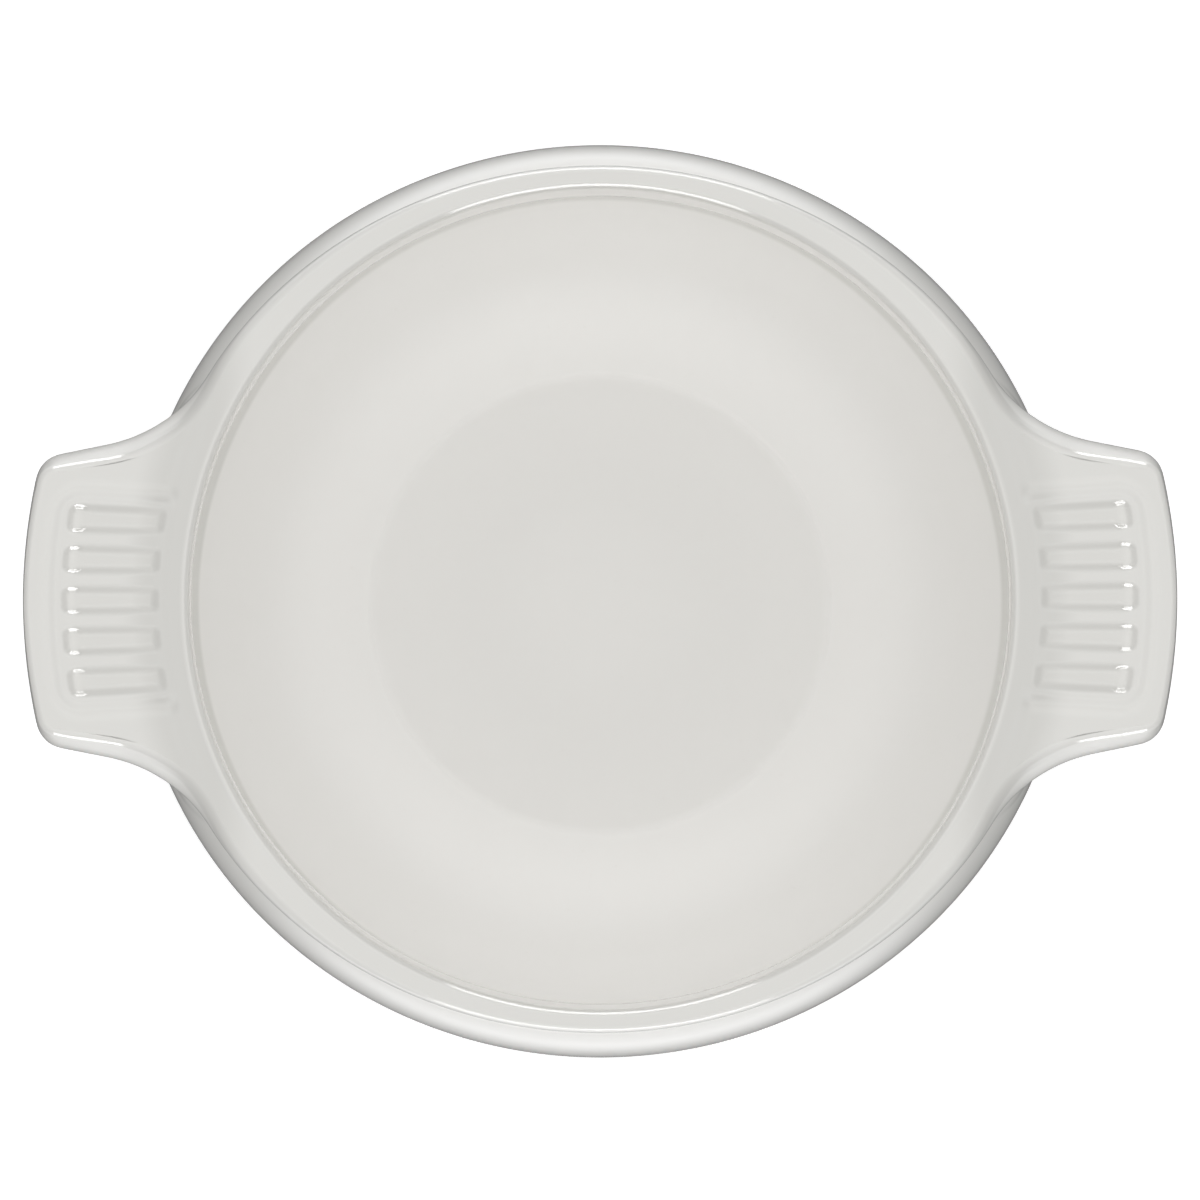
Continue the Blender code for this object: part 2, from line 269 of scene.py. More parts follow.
def arc(centre, radii, start, end, count=200):
    turn = np.linspace(start, end, count)
    rx, ry = radii if isinstance(radii, tuple) else (radii, radii)
    return np.column_stack([centre[0] + rx * np.cos(turn), centre[1] + ry * np.sin(turn)])


def bezier(p0, p1, p2, p3, count=120):
    t = np.linspace(0, 1, count)[:, None]
    p0, p1, p2, p3 = (np.asarray(p, float) for p in (p0, p1, p2, p3))
    return (1 - t) ** 3 * p0 + 3 * (1 - t) ** 2 * t * p1 + 3 * (1 - t) * t**2 * p2 + t**3 * p3


def joined(*lines):
    """Lines end to end, without the points that two of them share."""
    points = np.concatenate([np.asarray(line, float) for line in lines])
    keep = np.concatenate([[True], np.linalg.norm(np.diff(points, axis=0), axis=1) > 1e-6])
    return points[keep]


def lengths(points):
    return np.concatenate([[0], np.cumsum(np.linalg.norm(np.diff(points, axis=0), axis=1))])


def even(points, step):
    """The line with points at an even spacing of about step."""
    length = lengths(points)
    at = np.linspace(0, length[-1], max(int(length[-1] / step), 2))
    return np.column_stack([np.interp(at, length, points[:, k]) for k in range(2)])


def softened(points, reach, step=0.05):
    """An open line with its corners rounded over about reach; its ends stay put."""
    line = even(points, step)
    half = int(4 * reach / step)
    weight = np.exp(-0.5 * (np.arange(-half, half + 1) * step / reach) ** 2)
    weight /= weight.sum()
    before = 2 * line[0] - line[1 : half + 1][::-1]
    after = 2 * line[-1] - line[-half - 1 : -1][::-1]
    padded = np.concatenate([before, line, after])
    return np.column_stack([np.convolve(padded[:, k], weight, "valid") for k in range(2)])


def spread(points, count, turning=TURNING):
    """count points along a line, closer together where it bends."""
    step = np.diff(points, axis=0)
    heading = np.unwrap(np.arctan2(step[:, 1], step[:, 0]))
    bend = np.abs(np.diff(heading, prepend=heading[0]))
    cost = np.concatenate([[0], np.cumsum(np.linalg.norm(step, axis=1) + turning * bend)])
    at = np.linspace(0, cost[-1], count)
    return np.column_stack([np.interp(at, cost, points[:, k]) for k in range(2)])


# ---------------------------------------------------------------- outline seen from above


def quarter_outline():
    """The outside of rim and handle from the middle of a tip to the middle of the rim."""
    side = np.array([SIDE_TAPER, 1.0]) / math.hypot(SIDE_TAPER, 1.0)
    along = np.array([side[1], -side[0]])
    reach = side @ SIDE_POINT
    inner = reach - CORNER
    corner = side * inner + along * math.sqrt((TIP_REACH - CORNER) ** 2 - inner**2)
    corner_turn = math.atan2(corner[1], corner[0])
    side_turn = math.atan2(side[1], side[0])
    radii = (RIM * (1 + RIM_STRETCH), RIM)
    root_turn = math.atan2(radii[0] * math.sin(ROOT), radii[1] * math.cos(ROOT))
    root = np.array([radii[0] * math.cos(root_turn), radii[1] * math.sin(root_turn)])
    outward = root / np.array(radii) ** 2
    outward /= np.linalg.norm(outward)
    sweep = (side @ root - reach) / (1 - side @ outward)
    centre = root + outward * sweep
    return joined(
        arc((0, 0), TIP_REACH, 0, corner_turn),
        arc(corner, CORNER, corner_turn, side_turn),
        arc(centre, sweep, side_turn + math.pi, math.atan2(outward[1], outward[0]) + math.pi),
        arc((0, 0), radii, root_turn, math.pi / 2, 400),
    )


def smooth_quarter(reach=OUTLINE_SOFTNESS, step=0.05):
    """A quarter of the closed outline after its bends have been eased into each other."""
    quarter = even(quarter_outline(), step)
    half = np.concatenate([quarter, quarter[-2::-1] * [-1, 1]])
    loop = np.concatenate([half, half[-2:0:-1] * [1, -1]])
    wave = np.fft.fftfreq(len(loop), d=step)
    calm = np.exp(-2 * (math.pi * wave * reach) ** 2)
    loop = np.column_stack([np.fft.ifft(np.fft.fft(loop[:, k]) * calm).real for k in range(2)])
    ahead, behind = np.roll(loop, -1, axis=0), np.roll(loop, 1, axis=0)
    tangent = ahead - behind
    normal = np.column_stack([tangent[:, 1], -tangent[:, 0]])
    normal /= np.linalg.norm(normal, axis=1)[:, None]
    count = len(quarter)
    return loop[:count], normal[:count]


def mouth_angle(share):
    """Runs from 0 to 1 along a handle's flank, quickly at both ends, so that columns stay even."""
    second, third = 3 - 2 * FLANK_START - FLANK_END, FLANK_START + FLANK_END - 2
    return share * (FLANK_START + share * second + share * share * third)


def quarter_columns():
    """For each column in a quarter: outline point, outward normal and angle on the mouth."""
    line, normal = smooth_quarter()
    length = lengths(line)
    angle = np.arctan2(line[:, 1], line[:, 0])
    panel_end = float(np.interp(PANEL_HALF, line[:, 1], length))
    root = float(np.interp(ROOT, angle, length))
    at = joined_stations(panel_end, root, length[-1])
    point = np.column_stack([np.interp(at, length, line[:, k]) for k in range(2)])
    out = np.column_stack([np.interp(at, length, normal[:, k]) for k in range(2)])
    out /= np.linalg.norm(out, axis=1)[:, None]
    narrow = (MOUTH + FAN_APEX) / (TIP_REACH + FAN_APEX)
    panel_turn = np.arcsin(np.clip(point[:, 1] * narrow / MOUTH, -1, 1))
    last = math.asin(PANEL_HALF * narrow / MOUTH)
    flank = (at - panel_end) / (root - panel_end)
    flank_turn = last + (ROOT - last) * mouth_angle(np.clip(flank, 0, 1))
    turn = np.where(at <= panel_end, panel_turn, flank_turn)
    bead = at >= root - 1e-9
    turn[bead] = np.arctan2(point[bead, 1], point[bead, 0])
    return point, out, turn


def joined_stations(panel_end, root, end):
    panel = np.linspace(0, panel_end, PANEL_COLUMNS + 1)
    flank = np.linspace(panel_end, root, FLANK_COLUMNS + 1)
    bead = np.linspace(root, end, BEAD_COLUMNS + 1)
    return np.concatenate([panel, flank[1:], bead[1:]])


def all_columns():
    """The quarter's columns mirrored round the whole dish, counter-clockwise from the right tip."""
    point, out, turn = quarter_columns()
    last = len(turn) - 1
    flips = [(1, 1, 0, 1), (-1, 1, math.pi, -1), (-1, -1, math.pi, 1), (1, -1, 2 * math.pi, -1)]
    points, outs, turns = [], [], []
    for x_sign, y_sign, start, way in flips:
        order = slice(0, last) if way > 0 else slice(last, 0, -1)
        sign = np.array([x_sign, y_sign])
        points.append(point[order] * sign)
        outs.append(out[order] * sign)
        turns.append(start + way * turn[order])
    return np.concatenate(points), np.concatenate(outs), np.concatenate(turns)


# ---------------------------------------------------------------- sections and relief


def belly_stretch(z):
    reach = np.where(z > BELLY_Z, HEIGHT - BELLY_Z, BELLY_Z - JOINT_Z)
    away = np.clip(np.abs(z - BELLY_Z) / reach, 0, 1)
    return BELLY_STRETCH * np.cos(away * math.pi / 2) ** 2


def cavity_line():
    """(radius, height) from near the middle of the floor to the start of the rim's flat top."""
    start = math.asin((FLOOR - WALL_CENTRE) / (CAVITY - WALL_CENTRE)) - math.pi / 2
    wall = arc((WALL_CENTRE, CAVITY_Z), (CAVITY - WALL_CENTRE, CAVITY_DROP), start, 0)
    floor_z = wall[0, 1] - FLOOR_STEP
    floor = [(0.0, floor_z), (FLOOR - FLOOR_STEP_RUN, floor_z)]
    swell = bezier(
        (CAVITY, CAVITY_Z),
        (CAVITY, CAVITY_Z + SWELL_UP),
        (CREASE + SWELL_OUT, CREASE_Z - SWELL_DOWN),
        (CREASE, CREASE_Z),
    )
    drop = MOUTH_BEVEL * math.tan(BEVEL_SLOPE)
    bevel = [
        (MOUTH_FOOT, HEIGHT - drop - BEVEL_FOOT),
        (MOUTH_FOOT + BEVEL_START_OUT, HEIGHT - drop - BEVEL_START),
        (MOUTH_FOOT + MOUTH_BEVEL + BEVEL_END_OUT, HEIGHT - BEVEL_END_DROP),
        (MOUTH, HEIGHT),
    ]
    return softened(joined(floor, wall, swell, bevel), EDGE_SOFTNESS)


def body_line():
    """(radius, height) from the widest place of the belly down to the middle of the base."""
    low = math.asin((JOINT_Z - BELLY_Z) / LOWER_DROP)
    belly = arc((WALL_CENTRE, BELLY_Z), (BELLY - WALL_CENTRE, LOWER_DROP), 0, low)
    outer, inner = FOOT_LAND
    ring = joined(
        [(FOOT_OUTER - RING_TOP_IN, JOINT_Z - RING_TOP_DROP)],
        arc((outer, FOOT_ROLL), FOOT_ROLL, 0, -math.pi / 2),
        arc((inner, FOOT_ROLL), FOOT_ROLL, -math.pi / 2, -math.pi),
        [(FOOT_INNER, BASE_Z - BASE_CORNER), (FOOT_INNER - BASE_CORNER_IN, BASE_Z)],
        [(0.0, BASE_Z + BASE_RISE)],
    )
    line = softened(joined(belly, ring), FOOT_SOFTNESS)
    line[:, 1] = np.maximum(line[:, 1], 0)
    return line


def panel_place(x, y):
    """Place on a handle's panel: across the fan of grooves, and outward from the panel's middle."""
    return y * (PANEL_MID + FAN_APEX) / (x + FAN_APEX), np.hypot(x, y) - PANEL_MID


def box_distance(across, along, half_across, half_along, corner):
    """Signed distance to a box with rounded corners: below 0 inside it."""
    over_along = np.abs(along) - (half_along - corner)
    over_across = np.abs(across) - (half_across - corner)
    outside = np.hypot(np.maximum(over_along, 0), np.maximum(over_across, 0))
    return outside + np.minimum(np.maximum(over_along, over_across), 0) - corner


def groove_depth(x, y):
    """Grooves with soft walls, softest at their inner ends and steeper at their outer ends."""
    across, along = panel_place(x, y)
    last = (GROOVE_COUNT - 1) / 2
    nearest = np.clip(np.round(across / GROOVE_PITCH), -last, last) * GROOVE_PITCH
    edge = box_distance(across - nearest, along, GROOVE_WIDTH / 2, PANEL_HALF_LENGTH, GROOVE_CORNER)
    outward = ease((along + PANEL_HALF_LENGTH) / (2 * PANEL_HALF_LENGTH))
    steeper = ease((along - PANEL_HALF_LENGTH + GROOVE_STEEP_FROM) / GROOVE_STEEP_RUN)
    wall = GROOVE_WALL - GROOVE_WALL_LESS * outward - GROOVE_STEEP_LESS * steeper
    return GROOVE_DEPTH * ease(-edge / wall)


def panel_edge(x, y):
    """Signed distance to the edge of the whole panel of grooves: below 0 inside it."""
    across, along = panel_place(x, y)
    return box_distance(across, along, PANEL_HALF_WIDTH, PANEL_HALF_LENGTH, PANEL_CORNER)


def frame_height(x, y):
    """A low ridge round the whole panel, with a shallow valley outside it."""
    edge = panel_edge(x, y)
    return RIDGE * bump(edge, RIDGE_AT, RIDGE_SPREAD) - VALLEY * bump(edge, VALLEY_AT, VALLEY_SPREAD)


def root_dip(x, y, radius, turn):
    """A shallow dip between the mouth and the grooves, deepest at the handle's two sides."""
    depth = DIP_MIDDLE + DIP_SIDES * ease((turn - DIP_TURN) / DIP_TURN_RUN)
    clear = ease((panel_edge(x, y) + DIP_CLEAR) / DIP_CLEAR_RUN)
    return depth * bump(radius, DIP_RADIUS, DIP_SPREAD) * ease((DIP_END - turn) / DIP_END_RUN) * clear


def relief(x, y):
    """Height of the rim's and handles' top against the rim's flat top."""
    x = np.abs(x)
    radius = np.hypot(x, y)
    turn = np.abs(np.arctan2(y, x))
    on_lug = soft_ease((ROOT + ON_LUG_PAST - turn) / ON_LUG_FADE)
    height = -LUG_SET_DOWN * on_lug * ease((radius - SEAT) / SET_DOWN_RUN)
    height = height - groove_depth(x, y) + frame_height(x, y) * ease((radius - SEAT) / FRAME_RUN)
    return np.minimum(height - root_dip(x, y, radius, turn), 0)


# ---------------------------------------------------------------- the whole surface


class Surface:
    """Rows of points over all columns, from the middle of the floor over the rim to the base.

    The marks are the rows at which pieces part.
    """

    def __init__(self):
        self.outline, self.normal, turn = all_columns()
        self.cos, self.sin = np.cos(turn), np.sin(turn)
        self.bearing = np.abs(np.arctan2(np.abs(self.outline[:, 1]), np.abs(self.outline[:, 0])))
        self.lug = soft_ease((LUG_BEARING - self.bearing) / LUG_FADE)
        self.rows, self.marks = [], {}
        self.cavity()
        self.top()
        self.side()
        self.underside()
        self.shoulder()
        self.base()

    def add(self, points, z):
        """Adds a row: points in plan, with one height or a height for each."""
        self.rows.append(np.column_stack([points, np.broadcast_to(z, len(self.cos))]))

    def mark(self, name):
        self.marks[name] = len(self.rows) - 1

    def ring(self, radius, stretch=1.0):
        """Points in plan at a radius, drawn out lengthways by stretch."""
        return np.column_stack([radius * self.cos * stretch, radius * self.sin])

    def circles(self, line, start, run):
        """Rows for each (radius, height) of a line; the belly's oval fades in from start over run."""
        for radius, z in line:
            stretch = 1 + float(belly_stretch(z)) * float(ease((radius - start) / run))
            self.add(self.ring(radius, stretch), z)

    def cavity(self):
        line = cavity_line()
        edge = int(np.argmax(line[:, 1] > HEIGHT - EDGE_DEPTH))
        wall = spread(line[: edge + 1], CAVITY_ROWS)
        mouth_edge = spread(line[edge:], EDGE_ROWS, EDGE_TURNING)
        self.circles(joined(wall, mouth_edge)[1:], FLOOR, CREASE - FLOOR)

    def top(self):
        """The rim's flat top and the handles' tops, out to where the edge's rounding begins."""
        sideways = self.normal[:, 1] ** 2
        more_roll = self.lug * (LUG_ROLL + LUG_SIDE_ROLL * sideways)
        more_roll = more_roll + ROLL_EXTRA * bump(self.bearing, ROLL_WIDEST, ROLL_EXTRA_SPREAD)
        self.roll = RIM_ROLL + more_roll
        flare = 1.0 + FLARE * ease((FLARE_END - np.abs(self.outline[:, 0])) / FLARE_RUN)
        inset = BEAD_DRAFT + self.lug * np.sqrt(sideways) * flare
        top_edge = self.outline - self.normal * inset[:, None]
        self.shelf = top_edge - self.normal * self.roll[:, None]
        in_lug = soft_ease((ROOT + SEAT_RUN - self.bearing) / SEAT_RUN)
        mouth = self.ring(MOUTH)
        seat = self.ring(SEAT * in_lug + (MOUTH + BEAD_SEAT) * (1 - in_lug))
        self.plate(mouth, seat, RIM_ROWS)
        self.mark("seat")
        self.plate(seat, self.shelf, PLATE_ROWS)
        self.mark("shelf")

    def plate(self, start, end, count):
        """Rows of the top from one line in plan to another, with the grooves and the dip."""
        for share in np.linspace(0, 1, count + 1)[1:]:
            points = start + (end - start) * share
            self.add(points, HEIGHT + relief(points[:, 0], points[:, 1]))

    def side(self):
        """The rounded upper edge, the sloping side and the rounded lower edge."""
        top = self.rows[-1][:, 2]
        for turned in np.linspace(0, ROLL_END, ROLL_ROWS + 1)[1:]:
            over, down = (part ** (2 / ROLL_POWER) for part in (math.sin(turned), math.cos(turned)))
            start = self.shelf + self.normal * (self.roll * over)[:, None]
            self.add(start, top - math.tan(BEVEL_SLOPE) * self.roll * (1 - down))
        start_z = self.rows[-1][:, 2]
        low = HEIGHT - (RIM_DEPTH + self.lug * (LUG_THICK - RIM_DEPTH))
        low_roll = RIM_ROLL + self.lug * LUG_LOW_ROLL
        for share in np.linspace(0, 1, SIDE_ROWS + 1)[1:]:
            points = start + (self.outline - start) * (1 - (1 - share) ** 2)
            self.add(points, start_z + (low + low_roll - start_z) * share)
        for turned in np.linspace(0, math.pi / 2, ROLL_ROWS + 1)[1:]:
            points = self.outline - self.normal * (low_roll * (1 - math.cos(turned)))[:, None]
            self.add(points, low + low_roll * (1 - math.sin(turned)))

    def underside(self):
        """From the low edge in to the neck and down to the shoulder."""
        last = self.rows[-1]
        self.leave = np.radians(LANDING - LANDING_LUG * self.lug)
        inward, rise = SHOULDER_IN * np.sin(self.leave), SHOULDER_RISE * np.cos(self.leave)
        up = np.column_stack([-inward * self.cos, -inward * self.sin, rise])
        up /= np.linalg.norm(up, axis=1)[:, None]
        radius = BELLY - SHOULDER_IN + SHOULDER_IN * np.cos(self.leave)
        z = BELLY_Z + SHOULDER_RISE * np.sin(self.leave)
        landing = np.column_stack([self.ring(radius, 1 + belly_stretch(z)), z])
        gap = np.hypot(last[:, 0], last[:, 1]) - (NECK + self.lug * LUG_NECK)
        reach = UNDER_REACH * np.maximum(gap, UNDER_LEAST)
        first = last - np.column_stack([self.normal * reach[:, None], np.zeros(len(reach))])
        second = landing + up * (UNDER_PULL + self.lug * UNDER_PULL_LUG)[:, None]
        for t in np.linspace(0, 1, UNDER_ROWS + 1)[1:]:
            near = (1 - t) ** 3 * last + 3 * (1 - t) ** 2 * t * first
            self.rows.append(near + 3 * (1 - t) * t * t * second + t**3 * landing)
        self.mark("landing")

    def shoulder(self):
        for share in np.linspace(1, 0, SHOULDER_ROWS + 1)[1:]:
            turned = self.leave * share
            radius = BELLY - SHOULDER_IN + SHOULDER_IN * np.cos(turned)
            z = BELLY_Z + SHOULDER_RISE * np.sin(turned)
            self.add(self.ring(radius, 1 + belly_stretch(z)), z)

    def base(self):
        """The belly's lower half, the foot ring and the base inside it."""
        body = body_line()
        joint = int(np.argmax(body[:, 1] <= JOINT_Z))
        inner = int(len(body) - 1 - np.argmax(body[::-1, 0] >= FOOT_INNER - INNER_ROW_IN))
        self.circles(spread(body[: joint + 1], BODY_ROWS)[1:], FOOT_OUTER, FOOT_BLEND)
        self.mark("joint")
        self.circles(spread(body[joint : inner + 1], FOOT_ROWS)[1:], FOOT_OUTER, FOOT_BLEND)
        self.mark("inner")
        self.circles(spread(body[inner:], BASE_ROWS)[1:-1], FOOT_OUTER, FOOT_BLEND)
        self.centre_low = (0.0, 0.0, float(body[-1, 1]))
        self.centre_high = (0.0, 0.0, float(cavity_line()[0, 1]))

    def with_core(self):
        """All points and normals, and a last row inside the wall, where cuts between pieces bend."""
        grid = np.array(self.rows)
        normals = surface_normals(grid)
        seat, landing = grid[self.marks["seat"]], grid[self.marks["landing"]]
        around = seat[:, :2] / np.linalg.norm(seat[:, :2], axis=1)[:, None]
        core = np.column_stack([CORE * around, (seat[:, 2] + landing[:, 2]) / 2])
        level = np.column_stack([around, np.zeros(len(around))])
        return np.concatenate([grid, core[None]]), np.concatenate([normals, level[None]])


def surface_normals(grid):
    """A unit normal for each point of the grid, which closes on itself along its columns."""
    across = np.roll(grid, -1, axis=1) - np.roll(grid, 1, axis=1)
    down = np.gradient(grid, axis=0)
    normal = np.cross(down, across)
    return normal / np.linalg.norm(normal, axis=2)[:, :, None]


# ---------------------------------------------------------------- pieces


class Piece:
    """Points, normals and faces of one piece, gathered by grid place."""

    def __init__(self, grid, normals):
        self.grid, self.normals = grid, normals
        self.places, self.points, self.outs, self.faces = {}, [], [], []

    def place(self, row, column):
        key = (row, column % self.grid.shape[1])
        if key not in self.places:
            self.places[key] = len(self.points)
            self.points.append(self.grid[key])
            self.outs.append(self.normals[key])
        return self.places[key]

    def free(self, point, out):
        self.points.append(np.array(point, float))
        self.outs.append(np.array(out, float))
        return len(self.points) - 1

    def patch(self, rows, columns):
        """Faces between neighbouring rows and neighbouring columns of the lists."""
        for r0, r1 in zip(rows, rows[1:]):
            for c0, c1 in zip(columns, columns[1:]):
                self.faces.append(
                    (self.place(r0, c0), self.place(r1, c0), self.place(r1, c1), self.place(r0, c1))
                )

    def flank(self, rows, column):
        self.faces.append([self.place(row, column) for row in rows])

    def hub(self, row, columns, centre, out):
        middle = self.free(centre, out)
        for c0, c1 in zip(columns, columns[1:]):
            self.faces.append((middle, self.place(row, c0), self.place(row, c1)))

    def build(self, name, material):
        mesh = bpy.data.meshes.new(name)
        mesh.from_pydata([tuple(p * MM) for p in self.points], [], self.faces)
        shape = bmesh.new()
        shape.from_mesh(mesh)
        bmesh.ops.recalc_face_normals(shape, faces=shape.faces)
        shape.to_mesh(mesh)
        shape.free()
        mesh.shade_smooth()
        mesh.normals_split_custom_set_from_vertices([tuple(n) for n in self.outs])
        mesh.materials.append(material)
        item = bpy.data.objects.new(name, mesh)
        bpy.context.scene.collection.objects.link(item)
        return item


def column_sets(count):
    """Columns of the right and left handle and of the two stretches of bead between them."""
    half = PANEL_COLUMNS + FLANK_COLUMNS
    middle = count // 2
    right = list(range(-half, half + 1))
    left = list(range(middle - half, middle + half + 1))
    back = list(range(half, middle - half + 1))
    front = list(range(middle + half, count - half + 1))
    return right, left, back, front


def make_bowl(surface, grid, normals, sets):
    right, left, back, front = sets
    seat, shelf, landing = (surface.marks[name] for name in ("seat", "shelf", "landing"))
    joint, inner = surface.marks["joint"], surface.marks["inner"]
    core, last = len(grid) - 1, len(grid) - 2
    ring = right[::2] + back[1:] + left[::2][1:] + front[1:]
    section = list(range(seat, shelf + 1))[::PLATE_SKIP] + list(range(shelf + 1, landing + 1))
    bowl = Piece(grid, normals)
    bowl.hub(0, ring, surface.centre_high, (0, 0, 1))
    bowl.patch(list(range(0, seat + 1)), ring)
    for stretch in (back, front):
        bowl.patch(section, stretch)
    for lug in (right[::2], left[::2]):
        bowl.patch([seat, core, landing], lug)
    for lug in (right, left):
        for column in (lug[0], lug[-1]):
            bowl.flank(section + [core], column)
    bowl.patch(list(range(landing, joint + 1)), ring)
    bowl.patch([joint, inner], ring)
    bowl.patch(list(range(inner, last + 1)), ring)
    bowl.hub(last, ring[::-1], surface.centre_low, (0, 0, -1))
    foot = Piece(grid, normals)
    foot.patch(list(range(joint, inner + 1)), ring)
    foot.patch([inner, joint], ring)
    return bowl, foot


def make_handle(surface, grid, normals, lug):
    seat, landing = surface.marks["seat"], surface.marks["landing"]
    core = len(grid) - 1
    handle = Piece(grid, normals)
    handle.patch(list(range(seat, landing + 1)), lug)
    handle.patch([landing, core, seat], lug)
    for column in (lug[0], lug[-1]):
        handle.flank(list(range(seat, landing + 1)) + [core], column)
    return handle


def make_pieces(glaze, foot_material):
    surface = Surface()
    grid, normals = surface.with_core()
    sets = column_sets(grid.shape[1])
    bowl, foot = make_bowl(surface, grid, normals, sets)
    made = [(bowl, "bowl", "glaze", glaze), (foot, "foot_ring", "bare_clay", foot_material)]
    for node, lug in zip(("right_handle", "left_handle"), sets):
        made.append((make_handle(surface, grid, normals, lug), node, "glaze", glaze))
    for piece, node, slot, material in made:
        item = piece.build("dish_" + node, material)
        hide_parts(node)
        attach(item, "root")


# ---------------------------------------------------------------- materials


class Nodes:
    """A material's node tree, with short ways to add what the glaze and the clay are made of."""

    def __init__(self, name):
        self.material = bpy.data.materials.new(name)
        self.material.use_nodes = True
        self.tree = self.material.node_tree
        self.shader = self.tree.nodes["Principled BSDF"]
        place = self.tree.nodes.new("ShaderNodeTexCoord")
        self.place = place.outputs["Object"]

    def add(self, kind, inputs=None, **settings):
        node = self.tree.nodes.new(kind)
        for key, value in settings.items():
            setattr(node, key, value)
        for key, value in (inputs or {}).items():
            if isinstance(value, bpy.types.NodeSocket):
                self.tree.links.new(value, node.inputs[key])
            else:
                node.inputs[key].default_value = value
        return node

    def noise(self, size_mm, detail=2.0, rough=0.5):
        settings = {"Vector": self.place, "Scale": 1 / (size_mm * MM), "Detail": detail, "Roughness": rough}
        return self.add("ShaderNodeTexNoise", settings).outputs[0]

    def ramp(self, value, low, high, out_low=0.0, out_high=1.0):
        limits = {0: value, 1: low, 2: high, 3: out_low, 4: out_high}
        node = self.add("ShaderNodeMapRange", limits, interpolation_type="SMOOTHSTEP")
        return node.outputs[0]

    def rise(self, value, limits, least=0.0):
        """least below the first limit in mm, rising to 1 at the second."""
        return self.ramp(value, limits[0] * MM, limits[1] * MM, least)

    def fade(self, value, limits):
        """1 below the first limit in mm, falling to 0 at the second."""
        return self.ramp(value, limits[0] * MM, limits[1] * MM, 1.0, 0.0)

    def maths(self, kind, a, b=0.0, c=0.0):
        return self.add("ShaderNodeMath", {0: a, 1: b, 2: c}, operation=kind).outputs[0]

    def size(self, value):
        return self.maths("ABSOLUTE", value)

    def length(self, a, b):
        return self.maths("SQRT", self.maths("MULTIPLY_ADD", a, a, self.maths("MULTIPLY", b, b)))

    def all_of(self, first, *shares):
        """The product of shares between 0 and 1."""
        for share in shares:
            first = self.maths("MULTIPLY", first, share)
        return first

    def mix(self, share, first, second):
        node = self.add("ShaderNodeMix", {0: share}, data_type="RGBA")
        for socket, value in ((node.inputs[6], first), (node.inputs[7], second)):
            if isinstance(value, bpy.types.NodeSocket):
                self.tree.links.new(value, socket)
            else:
                socket.default_value = (*value, 1)
        return node.outputs[2]

    def bump(self, height, depth_mm, strength, normal=None):
        inputs = {"Height": height, "Distance": depth_mm * MM, "Strength": strength}
        if normal is not None:
            inputs["Normal"] = normal
        return self.add("ShaderNodeBump", inputs).outputs[0]

    def set(self, **sockets):
        for name, value in sockets.items():
            socket = self.shader.inputs[name.replace("_", " ")]
            if isinstance(value, bpy.types.NodeSocket):
                self.tree.links.new(value, socket)
            else:
                socket.default_value = value


def groove_shade_mask(nodes, x, y, radius):
    """1 where shade is painted, on the long walls and the inner ends of the grooves."""
    beyond = nodes.maths("ADD", nodes.size(x), FAN_APEX * MM)
    across = nodes.maths("DIVIDE", nodes.maths("MULTIPLY", y, (PANEL_MID + FAN_APEX) * MM), beyond)
    off_line = nodes.maths("PINGPONG", across, GROOVE_PITCH / 2 * MM)
    wall = nodes.all_of(
        nodes.rise(off_line, WALL_FROM, WALL_LEAST),
        nodes.fade(off_line, WALL_TO),
        nodes.fade(radius, WALL_STOPS),
    )
    end = nodes.all_of(nodes.fade(radius, END_LONG), nodes.fade(off_line, END_WIDE))
    return nodes.all_of(
        nodes.maths("MAXIMUM", wall, end),
        nodes.rise(radius, GROOVES_FROM),
        nodes.fade(nodes.size(across), GROOVES_WIDE),
    )


def glaze_colour(nodes):
    """Painted light in the cavity, less of it on the floor, and painted shade on the handles' roots and
    grooves.
    """
    x, y, z = nodes.add("ShaderNodeSeparateXYZ", {0: nodes.place}).outputs
    radius = nodes.length(x, y)
    above_foot = nodes.rise(z, ABOVE_FOOT)
    # painted light: a lighter colour inside the mouth, between the foot and the rim
    cavity_light = nodes.all_of(nodes.fade(radius, IN_MOUTH), above_foot, nodes.fade(z, BELOW_RIM))
    # painted shade on the handles' roots, between the mouth and the grooves
    root = nodes.all_of(
        nodes.rise(nodes.size(x), ROOT_SHADE_ALONG),
        above_foot,
        nodes.rise(radius, ROOT_SHADE_FROM),
        nodes.fade(radius, ROOT_SHADE_TO),
    )
    # painted shade along the grooves' walls and inner ends
    edges = groove_shade_mask(nodes, x, y, radius)
    # the painted shade, kept to the handles' tops
    painted_shade = nodes.all_of(nodes.maths("MAXIMUM", root, edges), nodes.rise(z, ON_TOP))
    cloud = nodes.noise(CLOUD_SIZE, 3.0)
    # the cavity's painted light, with random clouds of tone
    lit_cavity = nodes.mix(cloud, GLAZE_PAINTED_LIGHT, GLAZE_PAINTED_LIGHT_DEEP)
    # towards the floor's middle the painted light fades to a darker colour, painted shade against the walls
    lit_cavity = nodes.mix(nodes.fade(radius, MID_FLOOR), lit_cavity, GLAZE_FLOOR_LESS_LIT)
    # plain glaze, darkened to painted shade on the handles' roots and grooves
    plain_and_shaded = nodes.mix(painted_shade, nodes.mix(cloud, GLAZE_PLAIN, GLAZE_PLAIN_DEEP), GLAZE_PAINTED_SHADE)
    fleck = nodes.ramp(nodes.noise(FLECK_SIZE, 1.0), *FLECK_LIMITS, 0.0, FLECK_STRENGTH)
    return nodes.mix(fleck, nodes.mix(cavity_light, plain_and_shaded, lit_cavity), FLECK)


